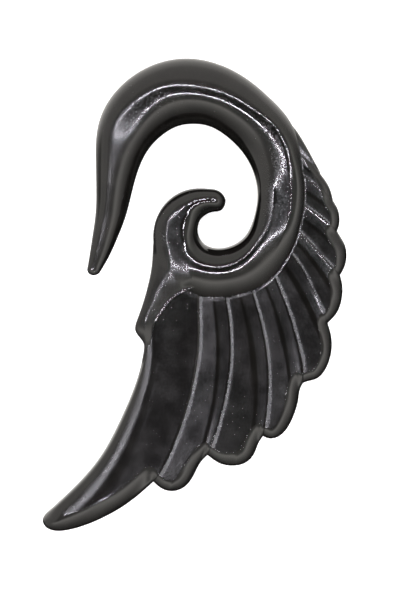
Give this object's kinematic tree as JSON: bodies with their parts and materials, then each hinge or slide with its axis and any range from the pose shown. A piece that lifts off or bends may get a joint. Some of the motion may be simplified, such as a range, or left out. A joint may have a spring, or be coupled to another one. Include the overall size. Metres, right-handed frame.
{
  "type": "ear stretcher",
  "caption": "Tapered round hook carried round in a carved scroll with a fan of feathers on its outer side, for a stretched ear lobe.",
  "frame": {"origin": "middle of the underside of the carving as it lies flat", "axes": "+Y from the long feather's tip up to the arch, +Z out of the upper face, +X from the hook to the feathers"},
  "size_m": [0.038, 0.0592, 0.0081],
  "materials": {
    "horn": "polished black horn, satin in the grooves"
  },
  "bodies": {
    "root": {"wing_hanger": "horn"}
  },
  "joints": []
}
